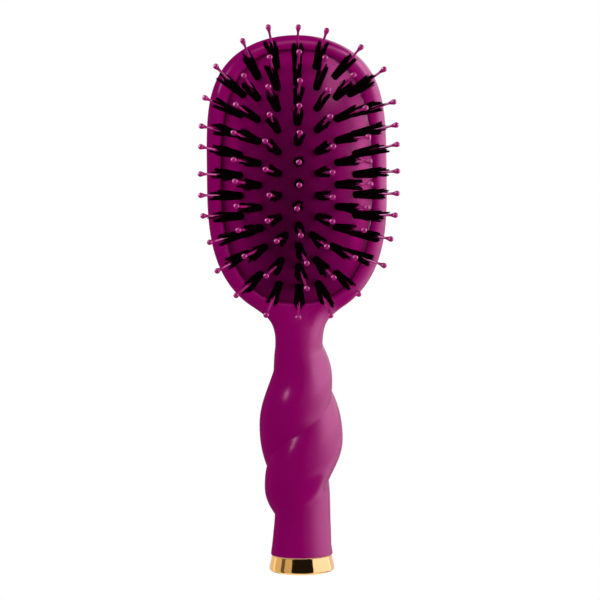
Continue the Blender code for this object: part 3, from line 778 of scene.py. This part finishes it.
def bristle_material():
    m, nodes, links, shader = new_material("black_bristle", 0.5, specular=0.03)
    coords = nodes.new("ShaderNodeTexCoord").outputs["Object"]
    tone = remap(nodes, links, noise(nodes, links, coords, 900.0, 2.0), 0.0, 1.0, 0.42, 0.66)
    links.new(two_tone(nodes, links, tone, (0.0006, 0.0002, 0.0003), (0.0030, 0.0006, 0.0010)), shader.inputs["Base Color"])
    rough = noise(nodes, links, coords, 1500.0, 2.0)
    links.new(remap(nodes, links, rough, 0.42, 0.6), shader.inputs["Roughness"])
    return m


def gold_material():
    m, nodes, links, shader = new_material("polished_gold", 0.07, metallic=1.0)
    coords = nodes.new("ShaderNodeTexCoord").outputs["Object"]
    tone = remap(nodes, links, noise(nodes, links, coords, 150.0, 3.0), 0.0, 1.0)
    links.new(two_tone(nodes, links, tone, (0.95, 0.55, 0.20), (0.92, 0.50, 0.16)), shader.inputs["Base Color"])
    rough = noise(nodes, links, coords, 320.0, 4.0)
    links.new(remap(nodes, links, rough, 0.05, 0.10), shader.inputs["Roughness"])
    ripple = noise(nodes, links, coords, 130.0, 1.0, stretch=(1.0, 0.35, 1.0))
    links.new(bump(nodes, links, ripple, 0.08, 0.0005), shader.inputs["Normal"])
    return m


BRISTLE = bristle_material()
GOLD = gold_material()

# ---- pieces ---------------------------------------------------------------------------------
body = make_body()
paint(body, PLUM)
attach(body, "root")
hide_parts("brush_body")

cap = make_cap()
paint(cap, GOLD)
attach(cap, "root")
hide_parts("end_cap")

pad = make_pad()
paint(pad, RUBBER)
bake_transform(pad)
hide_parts("cushion_pad")

for column, tag in COLUMNS.items():
    pins = make_pins(column)
    paint(pins, NYLON)
    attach(pins, f"column_{tag}")
    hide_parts(f"pin_row_{tag}")
    tufts = make_tufts(column)
    paint(tufts, BRISTLE)
    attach(tufts, f"column_{tag}")
    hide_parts(f"tuft_row_{tag}")
    wire = frame["nodes"][f"anchor_wire_{tag}"]
    for s in wire.material_slots:
        s.material = STEEL

for name in ("cushion_frame", "cap_plug"):
    for s in frame["nodes"][name].material_slots:
        s.material = BLACK

# ---- floor, light and camera --------------------------------------------------------------------
floor_mesh = bpy.data.meshes.new("floor")
size = 3.0
floor_mesh.from_pydata(
    [(-size, -size, -0.0004), (size, -size, -0.0004), (size, size, -0.0004), (-size, size, -0.0004)], [], [(0, 1, 2, 3)]
)
floor = bpy.data.objects.new("floor", floor_mesh)
bpy.context.scene.collection.objects.link(floor)
white = bpy.data.materials.new("white_floor")
white.use_nodes = True
nt = white.node_tree
nt.nodes.clear()
out = nt.nodes.new("ShaderNodeOutputMaterial")
glow = nt.nodes.new("ShaderNodeEmission")
glow.inputs["Color"].default_value = (1, 1, 1, 1)
clear = nt.nodes.new("ShaderNodeBsdfTransparent")
mix = nt.nodes.new("ShaderNodeMixShader")
geo = nt.nodes.new("ShaderNodeNewGeometry")
nt.links.new(geo.outputs["Backfacing"], mix.inputs["Fac"])
nt.links.new(glow.outputs["Emission"], mix.inputs[1])
nt.links.new(clear.outputs["BSDF"], mix.inputs[2])
nt.links.new(mix.outputs["Shader"], out.inputs["Surface"])
floor_mesh.materials.append(white)
floor.visible_diffuse = False
floor.visible_glossy = False
floor.visible_transmission = False
floor.visible_shadow = False

scene = bpy.context.scene
world = bpy.data.worlds.new("studio")
scene.world = world
world.use_nodes = True
wt = world.node_tree
wt.nodes.clear()


# the world is white to the camera and near black to everything else: all light
# comes from the panels below
path = wt.nodes.new("ShaderNodeLightPath")
strength = wt.nodes.new("ShaderNodeMapRange")
strength.inputs["To Min"].default_value = 0.012
strength.inputs["To Max"].default_value = 1.0
wt.links.new(path.outputs["Is Camera Ray"], strength.inputs["Value"])
background = wt.nodes.new("ShaderNodeBackground")
background.inputs["Color"].default_value = (1, 1, 1, 1)
wt.links.new(strength.outputs["Result"], background.inputs["Strength"])
wout = wt.nodes.new("ShaderNodeOutputWorld")
wt.links.new(background.outputs["Background"], wout.inputs["Surface"])
world.cycles.sampling_method = "NONE"


def panel(name, place, target, width, height, radiance, diffuse=True, glossy=True, only=None, colour=None, past=None, met=True):
    """A soft rectangular light of even brightness, seen by matt or by glossy surfaces or by both."""
    data = bpy.data.lights.new(name, "AREA")
    data.shape = "RECTANGLE"
    data.size, data.size_y = width, height
    data.energy = 4.0 * width * height * radiance
    data.cycles.use_multiple_importance_sampling = glossy and met
    obj = bpy.data.objects.new(name, data)
    scene.collection.objects.link(obj)
    obj.location = place
    way = (Vector(target) - Vector(place)).normalized()
    side = Vector((0.0, 1.0, 0.0)).cross(-way)
    if side.length < 1e-3:
        side = Vector((1.0, 0.0, 0.0))
    side.normalize()
    obj.matrix_world = Matrix.Translation(place) @ Matrix((side, (-way).cross(side), -way)).transposed().to_4x4()
    obj.visible_camera = False
    obj.visible_diffuse = diffuse
    obj.visible_glossy = glossy
    if colour:
        data.color = colour
    if only:
        obj.light_linking.receiver_collection = only
    if past:
        obj.light_linking.blocker_collection = past
    return obj


def gloss_strip(name, azimuth_low, azimuth_high, y_low, y_high, radiance, only=None, past=None, reach=0.75, met=True, colour=None):
    """A flat panel beside the brush between two azimuths from the front (+X is 90), for reflections only."""
    a, c = math.radians(azimuth_low), math.radians(azimuth_high)
    p, q = Vector((math.sin(a), 0, math.cos(a))) * reach, Vector((math.sin(c), 0, math.cos(c))) * reach
    middle = (p + q) / 2
    y = (y_low + y_high) / 2
    place = Vector((middle.x, y, middle.z + 0.016))
    size = (q - p).length, y_high - y_low
    return panel(name, place, (0.0, y, 0.016), *size, radiance, diffuse=False, only=only, past=past, met=met, colour=colour)


def group(name, *members):
    """A collection that names which pieces a light reaches."""
    c = bpy.data.collections.new(name)
    for member in members:
        c.objects.link(member)
    return c


body_only = group("lit_body", body)
pad_only = group("lit_pad", pad)
pins_only = group("lit_pins", *[o for o in scene.objects if o.name.startswith("ball_pins")])
cap_only = group("lit_cap", cap)
all_but_pad = group("lit_by_room", *[o for o in scene.objects if o.type == "MESH" and o not in (pad, floor)])
solid_pieces = group("room_blockers", body, pad, cap)
all_pieces = group("every_piece", *[o for o in scene.objects if o.type == "MESH" and o is not floor])

# a room of six matt-only panels gives the even fill; the thin bristles and pins
# don't darken the body round them, but they do darken the cushion between them
ROOM = 0.8
for name, way, radiance in (
    ("fill_front", (0, 0, 1), 0.80),
    ("fill_back", (0, 0, -1), 0.60),
    ("fill_left", (-1, 0, 0), 0.92),
    ("fill_right", (1, 0, 0), 1.80),
    ("fill_top", (0, 1, 0), 0.95),
    ("fill_bottom", (0, -1, 0), 0.72),
):
    panel(
        name, Vector(way) * ROOM, (0.0, 0.0, 0.0), 2 * ROOM, 2 * ROOM, radiance,
        glossy=False, only=all_but_pad, past=solid_pieces,
    )
# the cushion's own fill comes low from both sides and from the top, so its crest and lower end stay darker
for name, place, target, width, height, radiance in (
    ("pad_left", (-0.8, 0.35, -0.2), (0, 0.35, -0.2), 1.1, 1.5, 2.7),
    ("pad_left_down", (-0.8, -0.75, -0.2), (0, -0.75, -0.2), 1.1, 0.7, 1.0),
    ("pad_left_high", (-0.8, 0.2, 0.6), (0, 0.2, 0.6), 0.5, 1.6, 0.9),
    ("pad_right", (0.8, 0.35, -0.2), (0, 0.35, -0.2), 1.1, 1.5, 3.2),
    ("pad_right_down", (0.8, -0.75, -0.2), (0, -0.75, -0.2), 1.1, 0.7, 3.4),
    ("pad_right_high", (0.8, 0.2, 0.6), (0, 0.2, 0.6), 0.5, 1.6, 3.5),
    ("pad_top", (0, 0.8, 0.05), (0, 0, 0.05), 1.6, 1.3, 2.5),
):
    panel(name, place, target, width, height, radiance, glossy=False, only=pad_only, past=all_pieces)
panel("rim_right", (0.24, 0.06, 0.06), (0.03, 0.06, 0.015), 0.10, 0.14, 1.8, glossy=False, only=body_only, past=solid_pieces)
panel("rim_top", (0.05, 0.30, 0.08), (0.01, 0.10, 0.015), 0.14, 0.10, 1.2, glossy=False, only=body_only, past=solid_pieces)

def make_flag(name, corners):
    """A card that only keeps certain lamps off part of the brush."""
    mesh = bpy.data.meshes.new(name)
    mesh.from_pydata(corners, [], [(0, 1, 2, 3)])
    obj = bpy.data.objects.new(name, mesh)
    scene.collection.objects.link(obj)
    for way in ("camera", "diffuse", "glossy", "transmission"):
        setattr(obj, "visible_" + way, False)
    return obj


# reflections: a soft window on the right. Each band of azimuth is brighter the
# higher it is, in four bands of y
WINDOW_Y = (-0.60, -0.15, 0.05, 0.30, 1.10)
for low_az, high_az, *levels in (
    (6, 22, 0.02, 0.12, 0.12, 0.14),
    (22, 37, 0.12, 0.20, 0.24, 0.42),
    (37, 50, 0.32, 0.48, 0.85, 1.10),
    (50, 62, 0.50, 0.75, 1.40, 1.75),
    (62, 75, 0.68, 1.00, 1.75, 2.00),
    (75, 90, 0.76, 1.20, 1.80, 2.00),
    (90, 110, 1.00, 1.05, 1.55, 1.70),
    (110, 132, 0.70, 0.75, 1.10, 1.25),
    (132, 165, 0.25, 0.35, 0.75, 0.95),
):
    for y_low, y_high, level in zip(WINDOW_Y, WINDOW_Y[1:], levels):
        gloss_strip(f"window_{low_az}_{y_high}", low_az, high_az, y_low, y_high, level, only=body_only, past=all_pieces)
pad_alone = group("pad_blocks_itself", pad)
rosy = (1.0, 0.62, 0.82)
gloss_strip("pad_gloss", 82, 120, 0.05, 1.00, 4.6, only=pad_only, past=pad_alone, met=False, colour=rosy)
gloss_strip("pad_gloss_low", 82, 120, -0.10, 0.05, 1.7, only=pad_only, past=pad_alone, met=False, colour=rosy)
gloss_strip("pad_gloss_soft", 70, 82, 0.10, 1.00, 0.5, only=pad_only, past=pad_alone, met=False, colour=rosy)
panel("pad_gloss_high", (0.40, 0.62, 0.33), (0.012, 0.10, 0.016), 0.30, 0.30, 1.6, diffuse=False, only=pad_only, past=pad_alone, met=False, colour=rosy)
panel("gloss_top_right", (0.16, 0.24, 0.12), (0.015, 0.10, 0.016), 0.12, 0.10, 1.3, diffuse=False, only=body_only, past=solid_pieces)
# a small card close above the head's top edge
panel("gloss_top", (0.01, 0.19, 0.10), (0.0, 0.105, 0.016), 0.13, 0.05, 0.6, diffuse=False, only=body_only, past=solid_pieces)
# a small lamp makes the streaks on the wound strands, and a flag keeps it off the neck
flag = make_flag("flag", [(-0.14, -0.019, 0.042), (0.06, -0.019, 0.042), (0.06, 0.10, 0.042), (-0.14, 0.10, 0.042)])
flagged = group("flagged", flag, body)
panel("streak_light", (-0.62, 0.45, 0.52), (0, 0, 0.02), 0.075, 0.32, 6.5, diffuse=False, only=body_only, past=flagged)
# what the grazing edges mirror
smooth_pieces = group("lit_edges", body, pad)
panel("gloss_back", (0, 0, -0.5), (0, 0, 0), 3.0, 3.0, 0.12, diffuse=False, only=smooth_pieces, colour=(1.0, 0.06, 0.42))
# the pins' own glints
gloss_strip("pins_left", -125, -62, 0.05, 0.75, 4.6, only=pins_only, past=solid_pieces)
gloss_strip("pins_right", 66, 130, -0.15, 0.50, 2.5, only=pins_only, past=solid_pieces)
panel("pins_top", (-0.30, 0.62, 0.30), (0.0, 0.05, 0.03), 0.30, 0.25, 5.0, diffuse=False, only=pins_only, past=solid_pieces)
panel("pins_back", (0, 0, -0.45), (0, 0, 0), 3.0, 3.0, 0.25, diffuse=False, only=pins_only, colour=(1.0, 0.4, 0.7))
# the cap's cards: bright on both sides, dark in the middle
warm, cool = (1.0, 0.97, 0.84), (1.0, 1.0, 1.42)
gloss_strip("cap_left_gap", -82, -67, -0.50, 0.85, 0.10, only=cap_only, past=all_pieces, reach=0.6, colour=warm)
gloss_strip("cap_left_near", -67, -39, -0.50, 0.85, 0.50, only=cap_only, past=all_pieces, reach=0.6, colour=warm)
gloss_strip("cap_left", -125, -82, -0.50, 0.85, 0.56, only=cap_only, past=all_pieces, reach=0.6, colour=warm)
gloss_strip("cap_left_far", -178, -125, -0.50, 0.85, 0.30, only=cap_only, past=all_pieces, colour=warm)
gloss_strip("cap_right", 39, 120, -0.50, 0.85, 1.08, only=cap_only, past=all_pieces, colour=cool)
gloss_strip("cap_right_far", 120, 178, -0.50, 0.85, 0.35, only=cap_only, past=all_pieces, colour=cool)
panel("cap_back", (0.0, -0.10, -0.5), (0.0, -0.10, 0), 2.4, 2.4, 0.35, diffuse=False, only=cap_only, past=cap_only)
panel("cap_top", (0.0, 0.78, 0.05), (0.0, -0.10, 0.016), 0.8, 0.35, 0.55, diffuse=False, only=cap_only, past=all_pieces)
panel("cap_bottom", (0.0, -0.62, 0.52), (0.0, -0.10, 0.016), 1.4, 0.5, 0.04, diffuse=False, only=cap_only, past=all_pieces)
panel("cap_below", (0.0, -0.80, 0.0), (0.0, -0.10, 0.016), 1.4, 0.9, 1.0, diffuse=False, only=cap_only, past=all_pieces)


def place_camera():
    turn, roll = math.radians(2.0), math.radians(0.695)
    reach, scale = 635.0, 0.407  # mm to the handle's plane, and mm a pixel there
    look = Vector((math.sin(turn), 0.0, -math.cos(turn)))
    right0 = Vector((math.cos(turn), 0.0, math.sin(turn)))
    up0 = Vector((0.0, 1.0, 0.0))
    up = up0 * math.cos(roll) + right0 * math.sin(roll)
    right = right0 * math.cos(roll) - up0 * math.sin(roll)
    at = Vector((0.0, 0.0, HANDLE_Z)) - look * reach - right * (298.75 - 300) * scale - up * (300 - 301.75) * scale
    data = bpy.data.cameras.new("camera")
    data.sensor_width = 36.0
    data.lens = reach / scale / 600.0 * 36.0
    data.clip_start, data.clip_end = 0.05, 10.0
    obj = bpy.data.objects.new("camera", data)
    scene.collection.objects.link(obj)
    back = -look
    obj.matrix_world = Matrix(
        (
            (right.x, up.x, back.x, at.x * MM),
            (right.y, up.y, back.y, at.y * MM),
            (right.z, up.z, back.z, at.z * MM),
            (0, 0, 0, 1),
        )
    )
    scene.camera = obj


place_camera()
scene.view_settings.view_transform = "Standard"
scene.view_settings.look = "None"
scene.view_settings.exposure = 0.0
scene.view_settings.gamma = 1.0
